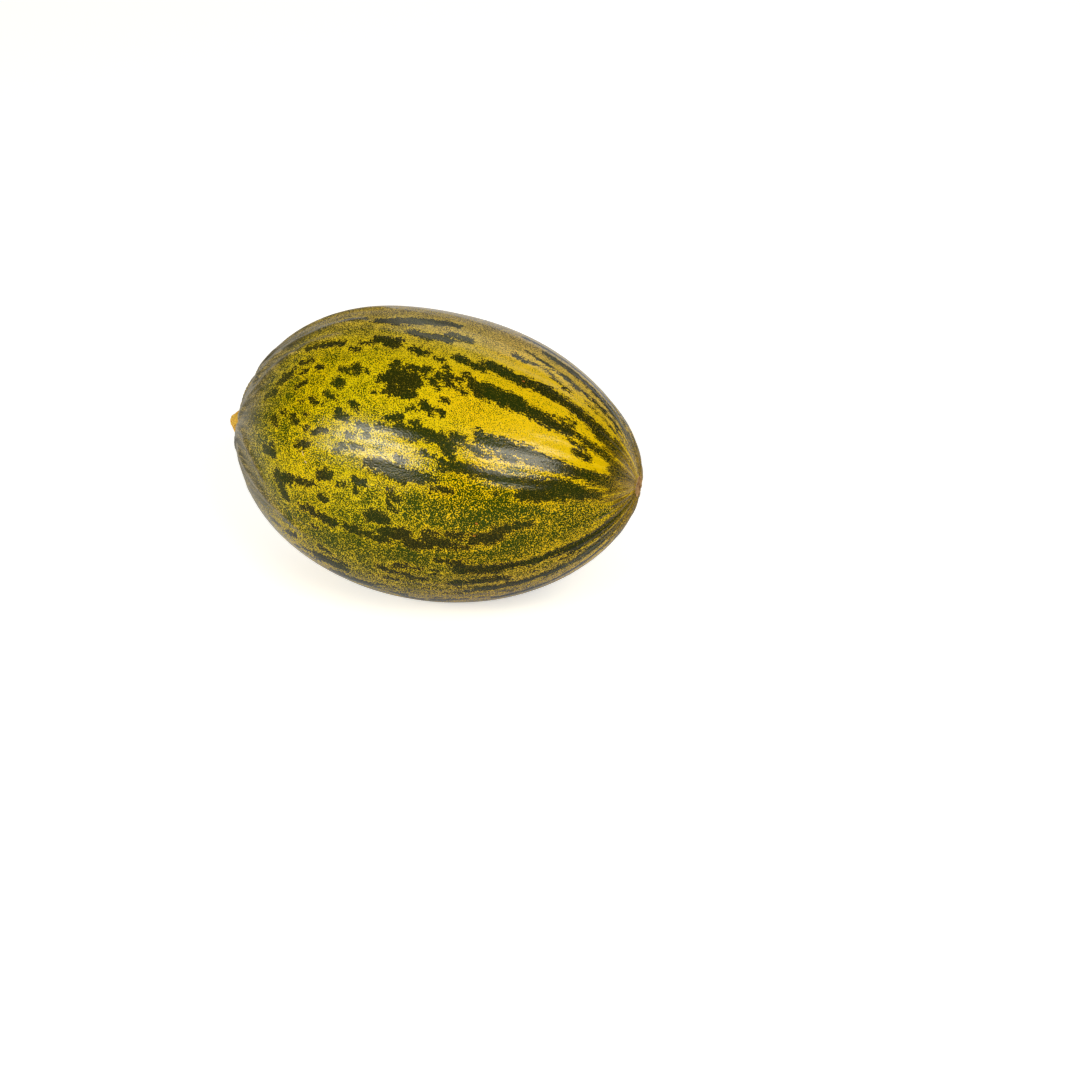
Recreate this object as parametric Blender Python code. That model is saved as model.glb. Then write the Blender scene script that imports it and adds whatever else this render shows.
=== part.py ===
# Whole piel de sapo melon, lying on its side as it rests on a table.
# The line between its two poles runs along X, with the stem end at -X and the blossom end at +X.
# The belly rests on z = 0 by a small flat spot, and the origin is below the middle of the whole fruit.
# Lengths are in metres and angles in radians.

import math

import bmesh
import bpy
from mathutils import Matrix, Vector

# Body of the fruit
POLE_LENGTH = 0.220
GIRTH_RADIUS = 0.0758
STEM_HALF_FULLNESS = 0.046
END_FULLNESS = 0.008
BLOSSOM_END_TAPER = 0.042
BELLY_SAG = 0.0013
SKEW = 0.0028
STEM_END_RISE = 0.0020
STEM_END_RISE_WIDTH = 0.0140
STEM_POLE_X = -POLE_LENGTH / 2 - STEM_END_RISE
REST_SPOT_DEPTH = 0.0010

# Soft lumps that keep the fruit from being perfectly round, each with its lobes round the girth,
# its twist from end to end in radians, its start angle and its height
LUMPS = [
    (2, 2.4, 0.1, 0.0007),
    (3, -5.0, 1.1, 0.0008),
    (5, 4.4, 3.4, 0.0003),
]
CALM_BELLY_WIDTH = 0.5

# Shallow ribs along the fruit
RIB_COUNT = 10
RIB_HEIGHT = 0.00016
RIB_WANDER = 0.55

# Folds that run in to the two poles, deepest at their middle radius and gone a few spreads from it
STEM_FOLD_COUNT = 18
STEM_FOLD_START = 0.7
STEM_FOLD_HEIGHT = 0.0006
STEM_FOLD_MIDDLE = 0.0200
STEM_FOLD_SPREAD = 0.0135
BLOSSOM_FOLD_COUNT = 14
BLOSSOM_FOLD_START = 2.9
BLOSSOM_FOLD_HEIGHT = 0.0004
BLOSSOM_FOLD_MIDDLE = 0.0170
BLOSSOM_FOLD_SPREAD = 0.0110

# Collar of skin round the stem stub, and the scar where the blossom dropped off
COLLAR_RADIUS = 0.0098
COLLAR_WIDTH = 0.0020
COLLAR_HEIGHT = 0.0004
SCAR_RADIUS = 0.0055
SCAR_RIM_WIDTH = 0.0013
SCAR_RIM_HEIGHT = 0.0005
SCAR_DISH_DEPTH = 0.0004
SCAR_DISH_WIDTH = 0.0038

# Corky stub that the stem left behind, and the socket that it grows from
STUB_RADIUS = 0.0075
STUB_ROOT_DEPTH = 0.0030
STUB_HEIGHT = 0.0063
STUB_TIP_LIFT = 0.0012
STUB_RIDGE_COUNT = 9
STUB_RIDGE_SHARE = 0.06
STUB_RIDGE_TWIST = 2.0
SEAT_GAP = 0.0003
CUTTER_OVERSHOOT = 0.004

# Outline of the stub above the skin, as shares of its radius and of its height
STUB_OUTLINE = [
    (1.00, 0.00),
    (0.97, 0.12),
    (0.89, 0.26),
    (0.77, 0.42),
    (0.60, 0.60),
    (0.44, 0.78),
    (0.34, 0.93),
    (0.20, 1.00),
]
STUB_ROOT_SHARE = 0.97
STUB_TIP_HOLLOW = 0.06

# Fineness of the faceted solids
SKIN_SEGMENTS = 96
SKIN_RINGS = 56
POLE_CROWDING = 0.7
STUB_SEGMENTS = 40
MERGE_DISTANCE = 1e-6

# Finish
RIND_COLOUR = (0.36, 0.33, 0.03, 1.0)
RIND_ROUGHNESS = 0.42
STUB_COLOUR = (0.62, 0.36, 0.09, 1.0)
STUB_ROUGHNESS = 0.85
SMOOTH_ANGLE = math.radians(38)


def clear_scene():
    for old in list(bpy.data.objects):
        bpy.data.objects.remove(old, do_unlink=True)


def new_collection(name):
    collection = bpy.data.collections.new(name)
    bpy.context.scene.collection.children.link(collection)
    return collection


def make_material(name, colour, roughness):
    material = bpy.data.materials.new(name)
    material.use_nodes = True
    shader = material.node_tree.nodes["Principled BSDF"]
    shader.inputs["Base Color"].default_value = colour
    shader.inputs["Roughness"].default_value = roughness
    shader.inputs["Metallic"].default_value = 0.0
    return material


def object_from_bmesh(name, bm, collection, material=None):
    mesh = bpy.data.meshes.new(name)
    bm.to_mesh(mesh)
    bm.free()
    made = bpy.data.objects.new(name, mesh)
    collection.objects.link(made)
    if material:
        mesh.materials.append(material)
        mesh.shade_smooth()
        mesh.set_sharp_from_angle(angle=SMOOTH_ANGLE)
    return made


def bell(distance, middle, width):
    """1 at the middle, falling smoothly to 0 a few widths away."""
    return math.exp(-(((distance - middle) / width) ** 2))


def smooth_radius(along):
    """Radius of the fruit without relief. along runs from -1 at the stem end to 1 at the blossom end."""
    round_part = math.sqrt(max(0.0, 1.0 - along**2))
    fullness = 1.0 - STEM_HALF_FULLNESS * along + END_FULLNESS * along**2 - BLOSSOM_END_TAPER * along**3
    return GIRTH_RADIUS * round_part * fullness


def section_centre(along):
    """Middle of a cross-section, as y and z: the belly sags below the pole line, and the body grew askew."""
    bow = 1.0 - along**2
    askew = SKEW * along * bow
    return -askew, -BELLY_SAG * bow - askew


def uneven_fold(turn, count, start):
    """Wave round a pole, between -1 and 1, whose folds differ in width and depth as grown ones do."""
    bunching = 1.3 * math.sin(3 * turn + start) + 0.8 * math.sin(2 * turn)
    depth = 0.6 + 0.25 * math.sin(2 * turn + start) + 0.15 * math.sin(5 * turn + 2 * start)
    return depth * math.cos(count * turn + bunching)


def body_relief(along, turn, radius):
    """Height of the ribs and lumps, which fade out at the poles and where the belly rests."""
    height = RIB_HEIGHT * math.cos(RIB_COUNT * turn + RIB_WANDER * math.sin(2 * turn + 1.0))
    for lobes, twist, start, lump_height in LUMPS:
        height += lump_height * math.sin(lobes * turn + twist * along + start)
    turn_from_belly = math.remainder(turn + math.pi / 2, 2 * math.pi)
    calm = 1.0 - bell(turn_from_belly, 0.0, CALM_BELLY_WIDTH)
    return height * calm * radius / GIRTH_RADIUS


def stem_end_relief(turn, radius):
    """Height of the folds round the stem and of the collar of skin at its foot."""
    folds = uneven_fold(turn, STEM_FOLD_COUNT, STEM_FOLD_START)
    folds *= bell(radius, STEM_FOLD_MIDDLE, STEM_FOLD_SPREAD)
    return STEM_FOLD_HEIGHT * folds + COLLAR_HEIGHT * bell(radius, COLLAR_RADIUS, COLLAR_WIDTH)


def blossom_end_relief(turn, radius):
    """Height of the folds that stop short of the blossom scar, and of the scar's rim and shallow dish."""
    folds = uneven_fold(turn, BLOSSOM_FOLD_COUNT, BLOSSOM_FOLD_START)
    folds *= bell(radius, BLOSSOM_FOLD_MIDDLE, BLOSSOM_FOLD_SPREAD) * (1.0 - bell(radius, 0.0, SCAR_RADIUS))
    rim = SCAR_RIM_HEIGHT * bell(radius, SCAR_RADIUS, SCAR_RIM_WIDTH)
    dish = SCAR_DISH_DEPTH * bell(radius, 0.0, SCAR_DISH_WIDTH)
    return BLOSSOM_FOLD_HEIGHT * folds + rim - dish


def skin_point(pole_angle, turn):
    """Point of the skin. pole_angle runs from 0 at the stem end to pi at the blossom end."""
    along = -math.cos(pole_angle)
    radius = smooth_radius(along)
    height = body_relief(along, turn, radius)
    rise = 0.0
    if along < 0:
        height += stem_end_relief(turn, radius)
        rise = STEM_END_RISE * bell(radius, 0.0, STEM_END_RISE_WIDTH)
    else:
        height += blossom_end_relief(turn, radius)
    raised = radius + height * math.sin(pole_angle)
    centre_y, centre_z = section_centre(along)
    x = (POLE_LENGTH / 2 + height) * along - rise
    y = raised * math.cos(turn) + centre_y
    z = raised * math.sin(turn) + centre_z
    return Vector((x, y, z))


def slice_rest_spot(bm):
    """Cuts away what lies below z = 0 and closes the cut with one flat face."""
    cut = bmesh.ops.bisect_plane(
        bm,
        geom=bm.verts[:] + bm.edges[:] + bm.faces[:],
        dist=MERGE_DISTANCE,
        plane_co=(0, 0, 0),
        plane_no=(0, 0, -1),
        clear_outer=True,
    )
    rim = [item for item in cut["geom_cut"] if isinstance(item, bmesh.types.BMEdge)]
    bmesh.ops.contextual_create(bm, geom=rim)


def build_fruit(collection, material):
    """The fruit in one piece, a sphere drawn out to the melon's form, and the height of its pole line."""
    bm = bmesh.new()
    bmesh.ops.create_uvsphere(bm, u_segments=SKIN_SEGMENTS, v_segments=SKIN_RINGS, radius=1.0)
    for vert in bm.verts:
        even_angle = math.acos(max(-1.0, min(1.0, -vert.co.z)))
        pole_angle = even_angle - POLE_CROWDING * math.sin(2 * even_angle) / 2
        vert.co = skin_point(pole_angle, math.atan2(vert.co.y, vert.co.x))
    pole_height = -min(vert.co.z for vert in bm.verts) - REST_SPOT_DEPTH
    bmesh.ops.translate(bm, verts=bm.verts, vec=(0, 0, pole_height))
    slice_rest_spot(bm)
    bmesh.ops.recalc_face_normals(bm, faces=bm.faces)
    return object_from_bmesh("fruit", bm, collection, material), pole_height


def cut_stem_socket(fruit, pole_height, collection):
    """Shallow round socket at the stem end, which the stub grows out of."""
    depth = STUB_ROOT_DEPTH + SEAT_GAP
    radius = STUB_RADIUS * (1 + STUB_RIDGE_SHARE) + SEAT_GAP
    bm = bmesh.new()
    bmesh.ops.create_cone(
        bm,
        cap_ends=True,
        segments=STUB_SEGMENTS,
        radius1=radius,
        radius2=radius,
        depth=depth + CUTTER_OVERSHOOT,
    )
    bmesh.ops.rotate(bm, verts=bm.verts, matrix=Matrix.Rotation(math.pi / 2, 3, "Y"))
    cutter = object_from_bmesh("stem_socket_cutter", bm, collection)
    cutter.location = (STEM_POLE_X + (depth - CUTTER_OVERSHOOT) / 2, 0, pole_height)
    cutter.hide_render = True
    cutter.display_type = "WIRE"
    socket = fruit.modifiers.new("stem_socket", "BOOLEAN")
    socket.operation = "DIFFERENCE"
    socket.object = cutter
    return cutter


def stub_profile():
    """Outline of the stub from the middle of its root to its broken tip, as radius and height."""
    profile = [(0.0, 0.0), (STUB_RADIUS * STUB_ROOT_SHARE, 0.0)]
    profile += [(STUB_RADIUS * out, STUB_ROOT_DEPTH + STUB_HEIGHT * up) for out, up in STUB_OUTLINE]
    profile.append((0.0, STUB_ROOT_DEPTH + STUB_HEIGHT * (1 - STUB_TIP_HOLLOW)))
    return profile


def build_stem_stub(pole_height, collection, material):
    """Corky stub: a turned outline with lengthwise ridges and a tip that leans upwards."""
    bm = bmesh.new()
    outline = [bm.verts.new((radius, 0, height)) for radius, height in stub_profile()]
    edges = [bm.edges.new(pair) for pair in zip(outline, outline[1:])]
    bmesh.ops.spin(
        bm,
        geom=outline + edges,
        cent=(0, 0, 0),
        axis=(0, 0, 1),
        angle=2 * math.pi,
        steps=STUB_SEGMENTS,
        use_merge=True,
    )
    bmesh.ops.remove_doubles(bm, verts=bm.verts, dist=MERGE_DISTANCE)
    for vert in bm.verts:
        turn = math.atan2(vert.co.y, vert.co.x)
        share = vert.co.z / (STUB_ROOT_DEPTH + STUB_HEIGHT)
        ridges = 1 + STUB_RIDGE_SHARE * math.cos(STUB_RIDGE_COUNT * turn + STUB_RIDGE_TWIST * share)
        vert.co.x = vert.co.x * ridges + STUB_TIP_LIFT * share**2
        vert.co.y *= ridges
    bmesh.ops.recalc_face_normals(bm, faces=bm.faces)
    stub = object_from_bmesh("stem_stub", bm, collection, material)
    stub.rotation_euler = (0, -math.pi / 2, 0)
    stub.location = (STEM_POLE_X + STUB_ROOT_DEPTH, 0, pole_height)
    return stub


def centre_over_origin(solids, cutters):
    """Carries all pieces on one empty, moved so that the origin is below the middle of the solids' box."""
    bpy.context.view_layer.update()
    graph = bpy.context.evaluated_depsgraph_get()
    points = []
    for solid in solids:
        points += [solid.matrix_world @ vert.co for vert in solid.evaluated_get(graph).data.vertices]
    middle_x = (min(p.x for p in points) + max(p.x for p in points)) / 2
    middle_y = (min(p.y for p in points) + max(p.y for p in points)) / 2
    carrier = bpy.data.objects.new("melon_carrier", None)
    bpy.context.scene.collection.objects.link(carrier)
    for piece in solids + cutters:
        piece.parent = carrier
    carrier.location = (-middle_x, -middle_y, 0)
    bpy.context.view_layer.update()


def main():
    clear_scene()
    melon = new_collection("piel_de_sapo_melon")
    guides = new_collection("cutters")
    rind = make_material("rind", RIND_COLOUR, RIND_ROUGHNESS)
    cork = make_material("stem_cork", STUB_COLOUR, STUB_ROUGHNESS)
    fruit, pole_height = build_fruit(melon, rind)
    cutter = cut_stem_socket(fruit, pole_height, guides)
    stub = build_stem_stub(pole_height, melon, cork)
    centre_over_origin([fruit, stub], [cutter])


main()
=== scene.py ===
import math

import bmesh
import bpy
import numpy as np
from mathutils import Matrix, Vector


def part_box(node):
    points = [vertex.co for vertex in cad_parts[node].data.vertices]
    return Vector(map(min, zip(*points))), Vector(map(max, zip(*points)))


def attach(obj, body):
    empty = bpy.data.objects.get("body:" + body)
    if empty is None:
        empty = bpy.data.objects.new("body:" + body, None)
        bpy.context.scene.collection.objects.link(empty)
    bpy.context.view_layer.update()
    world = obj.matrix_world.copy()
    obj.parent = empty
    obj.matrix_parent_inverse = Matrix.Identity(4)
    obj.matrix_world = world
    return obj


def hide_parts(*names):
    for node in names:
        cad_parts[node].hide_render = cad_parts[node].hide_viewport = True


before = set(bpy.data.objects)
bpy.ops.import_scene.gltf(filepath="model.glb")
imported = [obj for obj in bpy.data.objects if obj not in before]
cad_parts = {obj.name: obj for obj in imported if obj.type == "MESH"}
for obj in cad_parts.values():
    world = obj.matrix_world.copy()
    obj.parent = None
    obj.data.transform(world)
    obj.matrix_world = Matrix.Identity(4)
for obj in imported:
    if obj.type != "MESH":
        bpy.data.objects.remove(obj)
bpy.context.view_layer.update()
fruitLow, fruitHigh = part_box("fruit")
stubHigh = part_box("stem_stub")[1]
scene = bpy.context.scene
scene.view_settings.view_transform = "Standard"
print("melon: frame loaded")


# Small helpers for shader trees

def addNode(tree, kind, inputs=None, **settings):
    made = tree.nodes.new(kind)
    for name, value in settings.items():
        setattr(made, name, value)
    for name, value in (inputs or {}).items():
        feed(tree, made.inputs[name], value)
    return made


def feed(tree, socket, value):
    if isinstance(value, bpy.types.NodeSocket):
        tree.links.new(value, socket)
    else:
        socket.default_value = value


def maths(tree, operation, first, second=0.0, third=0.0, clamp=False):
    made = addNode(tree, "ShaderNodeMath", operation=operation, use_clamp=clamp)
    for socket, value in zip(made.inputs, (first, second, third)):
        feed(tree, socket, value)
    return made.outputs[0]


def times(tree, first, second):
    return maths(tree, "MULTIPLY", first, second)


def timesPlus(tree, first, second, third):
    return maths(tree, "MULTIPLY_ADD", first, second, third)


def noise(tree, vector, scale, detail, roughness):
    sizes = {"Vector": vector, "Scale": scale, "Detail": detail, "Roughness": roughness}
    return addNode(tree, "ShaderNodeTexNoise", sizes).outputs["Fac"]


def wander(tree, vector, scale, detail, roughness):               # noise round zero
    return maths(tree, "SUBTRACT", noise(tree, vector, scale, detail, roughness), 0.5)


def cells(tree, vector, spacing):
    sizes = {"Vector": vector, "Scale": 1 / spacing}
    return addNode(tree, "ShaderNodeTexVoronoi", sizes).outputs["Distance"]


def remap(tree, value, low, high, toLow=0.0, toHigh=1.0, kind="SMOOTHSTEP"):
    ends = {"Value": value, "From Min": low, "From Max": high, "To Min": toLow, "To Max": toHigh}
    return addNode(tree, "ShaderNodeMapRange", ends, interpolation_type=kind).outputs["Result"]


def blend(tree, factor, first, second):
    made = addNode(tree, "ShaderNodeMix", data_type="RGBA")
    for index, value in ((0, factor), (6, first), (7, second)):
        feed(tree, made.inputs[index], value)
    return made.outputs[2]


def lerp(tree, factor, first, second):
    made = addNode(tree, "ShaderNodeMix", data_type="FLOAT")
    for index, value in ((0, factor), (2, first), (3, second)):
        feed(tree, made.inputs[index], value)
    return made.outputs[0]


def attribute(tree, name, output="Fac"):
    return addNode(tree, "ShaderNodeAttribute", attribute_name=name).outputs[output]


def stretched(tree, vector, scale):
    made = addNode(tree, "ShaderNodeVectorMath", {0: vector, 1: scale}, operation="MULTIPLY")
    return made.outputs["Vector"]


def millimetres(tree):
    metres = addNode(tree, "ShaderNodeTexCoord").outputs["Object"]
    return stretched(tree, metres, (1000, 1000, 1000))


def newGroup(name, vectors, numbers, results):
    group = bpy.data.node_groups.new(name, "ShaderNodeTree")
    sides = ((vectors, "INPUT", "Vector"), (numbers, "INPUT", "Float"), (results, "OUTPUT", "Float"))
    for names, side, kind in sides:
        for socketName in names:
            group.interface.new_socket(socketName, in_out=side, socket_type="NodeSocket" + kind)
    return group, addNode(group, "NodeGroupInput").outputs, addNode(group, "NodeGroupOutput").inputs


def placeGroup(tree, group, values):
    made = tree.nodes.new("ShaderNodeGroup")
    made.node_tree = group
    for name, value in values.items():
        feed(tree, made.inputs[name], value)
    return made.outputs


def addRelief(tree, shader, height, look):
    values = {"Height": height, "Strength": look["reliefStrength"], "Distance": look["reliefDepth"]}
    feed(tree, shader.inputs["Normal"], addNode(tree, "ShaderNodeBump", values).outputs["Normal"])


def newMaterial(name):
    material = bpy.data.materials.new(name)
    material.use_nodes = True
    return material, material.node_tree, material.node_tree.nodes["Principled BSDF"]


def rgb(*levels):
    shares = [level / 255 for level in levels]
    linear = [c / 12.92 if c <= 0.04045 else ((c + 0.055) / 1.055) ** 2.4 for c in shares]
    return (*linear, 1.0)


# Small helpers for meshes and objects

def meshFrom(bm, name):
    mesh = bpy.data.meshes.new(name)
    bm.to_mesh(mesh)
    bm.free()
    return mesh


def linked(name, data):
    made = bpy.data.objects.new(name, data)
    scene.collection.objects.link(made)
    return made


# Form of the fruit in millimetres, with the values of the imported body

form = {
    "poleLength": 220.0,
    "girthRadius": 75.8,
    "stemHalfFullness": 0.046,
    "endFullness": 0.008,
    "blossomEndTaper": 0.042,
    "bellySag": 1.3,
    "skew": 2.8,
    "stemEndRise": 2.0,
    "stemEndRiseWidth": 14.0,
    "lumps": [(2, 2.4, 0.1, 0.7), (3, -5.0, 1.1, 0.8), (5, 4.4, 3.4, 0.3)],  # lobes, twist, start, height
    "calmBelly": 0.5,
    "ribs": (10, 0.55, 1.0, 0.16),                  # count, wander, start, height
    "stemFolds": (18, 0.7, 0.6, 20.0, 13.5),        # count, start, height, middle, spread
    "blossomFolds": (14, 2.9, 0.4, 17.0, 11.0),
    "foldBunching": (1.3, 0.8),
    "foldDepth": (0.6, 0.25, 0.15),
    "collar": (9.8, 2.0, 0.4),                      # radius, width, height
    "scarRim": (5.5, 1.3, 0.5),
    "scarDish": (3.8, 0.4),                         # width, depth
    "socket": (7.6, 3.2, 0.12),                     # radius, depth under the stub, softness of the edge
    "segments": 440,
    "rings": 226,
    "poleCrowding": 0.35,
    "mergeDistance": 1e-6,
    "meridianSteps": 4001,
}


def bell(distance, middle, width):
    return np.exp(-(((distance - middle) / width) ** 2))


def ramp(value, middle, spread):
    return 1 / (1 + np.exp(-(value - middle) / spread))


def wrapped(degrees):
    return np.remainder(degrees + 180, 360) - 180


def smoothRadius(along):
    fullness = 1 - form["stemHalfFullness"] * along + form["endFullness"] * along**2
    fullness = fullness - form["blossomEndTaper"] * along**3
    return form["girthRadius"] * np.sqrt(np.maximum(0, 1 - along**2)) * fullness


def arcLength(along):
    steps = np.linspace(0, math.pi, form["meridianSteps"])
    x, r = -np.cos(steps) * form["poleLength"] / 2, smoothRadius(-np.cos(steps))
    lengths = np.concatenate([[0], np.cumsum(np.hypot(np.diff(x), np.diff(r)))])
    return np.interp(along, -np.cos(steps), lengths), lengths[-1]


def unevenFold(turn, count, start):
    threes, twos = form["foldBunching"]
    even, pairs, fives = form["foldDepth"]
    bunching = threes * np.sin(3 * turn + start) + twos * np.sin(2 * turn)
    depth = even + pairs * np.sin(2 * turn + start) + fives * np.sin(5 * turn + 2 * start)
    return depth * np.cos(count * turn + bunching)


def packedRelief(along, turn, radius):
    ribCount, ribWander, ribStart, ribHeight = form["ribs"]
    height = ribHeight * np.cos(ribCount * turn + ribWander * np.sin(2 * turn + ribStart))
    for lobes, twist, start, lumpHeight in form["lumps"]:
        height += lumpHeight * np.sin(lobes * turn + twist * along + start)
    fromBelly = np.remainder(turn + math.pi / 2 + math.pi, 2 * math.pi) - math.pi
    height *= (1 - bell(fromBelly, 0, form["calmBelly"])) * radius / form["girthRadius"]
    ends = []
    for name in ("stemFolds", "blossomFolds"):
        count, start, foldHeight, middle, spread = form[name]
        ends.append(foldHeight * unevenFold(turn, count, start) * bell(radius, middle, spread))
    collarRadius, collarWidth, collarHeight = form["collar"]
    rimRadius, rimWidth, rimHeight = form["scarRim"]
    dishWidth, dishDepth = form["scarDish"]
    stemEnd = ends[0] + collarHeight * bell(radius, collarRadius, collarWidth)
    blossomEnd = ends[1] * (1 - bell(radius, 0, rimRadius)) + rimHeight * bell(radius, rimRadius, rimWidth)
    blossomEnd -= dishDepth * bell(radius, 0, dishWidth)
    return height + np.where(along < 0, stemEnd, blossomEnd)


def skinPlace(along, sine, turn, radius, height):
    rise = np.where(along < 0, form["stemEndRise"] * bell(radius, 0, form["stemEndRiseWidth"]), 0)
    bow = 1 - along**2
    askew = form["skew"] * along * bow
    raised = radius + height * sine
    x = (form["poleLength"] / 2 + height) * along - rise
    y = raised * np.cos(turn) - askew
    z = raised * np.sin(turn) - form["bellySag"] * bow - askew
    return np.stack([x, y, z], -1)


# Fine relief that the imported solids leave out: wrinkles along the skin and creases at both ends

relief = {
    "seed": 7,
    "wrinkle": {"height": 0.1, "lobes": (24, 70), "count": 14},      # lobes: ridges round the girth
    "stem": {"height": 0.3, "lobes": (38, 84), "reach": 38.0, "crests": 26, "crestHeight": 1.2},
    "blossom": {"height": 0.26, "lobes": (26, 60), "reach": 36.0, "crests": 22, "crestHeight": 0.35},
    "creaseCount": 7,
    "creaseMiddle": 0.6,                             # share of the reach, as is the next
    "creaseSpread": 0.7,
    "ridgeFade": (3, 8),
    "ridgeBend": (0.8, 4),                           # by how much, and how often from end to end
    "crestSway": (0.1, 0.05, 30),
    "crestBunching": 0.9,
    "crestFade": (0.55, 0.45),
    "crestBase": 0.25,
    "folds": [                                       # long folds: height, width, then s and turn along each
        (1.0, 2.4, [(36, 138), (46, 129), (55, 121), (67, 113), (83, 106), (100, 103)]),
        (0.9, 2.8, [(44, 116), (55, 105), (70, 100), (85, 96), (108, 92)]),
        (0.9, 1.7, [(34, 146), (42, 137), (55, 130)]),
        (0.7, 1.8, [(31, 154), (44, 157), (57, 168), (70, 178)]),
        (0.7, 2.3, [(36, 168), (52, 181), (70, 190), (95, 197)]),
        (0.9, 2.6, [(38, 96), (60, 86), (85, 81), (115, 78)]),
        (0.8, 2.2, [(34, 62), (50, 52), (72, 46)]),
        (0.9, 2.6, [(34, 20), (52, 12), (80, 8)]),
        (0.8, 2.2, [(34, -30), (50, -36), (75, -38)]),
        (0.8, 2.4, [(34, -70), (55, -82), (78, -86)]),
        (0.7, 2.0, [(34, 222), (50, 230), (70, 234)]),
    ],
    "foldReach": 4.0,                                # in widths
}


def softRidges(turn, along, lobes, count, draw):
    total = np.zeros_like(turn)
    bendHeight, bendWaves = relief["ridgeBend"]
    for _ in range(count):
        number = draw.integers(*lobes)
        start, drift, bend = draw.uniform(0, 2 * math.pi, 3)
        fading = drift + along * draw.uniform(*relief["ridgeFade"]) + 2 * np.sin(turn * 2 + bend)
        bent = number * turn + start + bendHeight * np.sin(along * bendWaves + bend)
        total += (0.5 + 0.5 * np.sin(fading)) * np.sin(bent)
    return total / math.sqrt(count)


def creaseRidges(turn, along, count, draw):
    start = draw.uniform(0, 2 * math.pi)
    sway, flutter, flutterWaves = relief["crestSway"]
    base, wave = relief["crestFade"]
    bent = turn + sway * np.sin(3 * turn + start) + flutter * np.sin(along * flutterWaves + 5 * turn)
    bunched = count * bent / 2 + relief["crestBunching"] * np.sin(2 * bent + start)
    crest = 1 - np.abs(np.sin(bunched))
    return crest**2 * (base + wave * np.sin(5 * bent + start)) - relief["crestBase"]


def fineRelief(along, turn, radius):
    draw = np.random.default_rng(relief["seed"])
    wrinkle = relief["wrinkle"]
    height = wrinkle["height"] * softRidges(turn, along, wrinkle["lobes"], wrinkle["count"], draw)
    for end, name in ((-1, "stem"), (1, "blossom")):
        crease = relief[name]
        ridges = softRidges(turn, along, crease["lobes"], relief["creaseCount"], draw)
        middle, spread = relief["creaseMiddle"] * crease["reach"], relief["creaseSpread"] * crease["reach"]
        here = np.where(along * end > 0, bell(radius, middle, spread), 0)
        height += crease["height"] * ridges * here
        height += crease["crestHeight"] * creaseRidges(turn, along, crease["crests"], draw) * here
    return height


# Markings: strokes as s, turn, s, turn, half width. s is mm along the skin from the stem pole,
# and turn is degrees round the fruit, 90 on top and 180 on the side that faces the camera.

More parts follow.
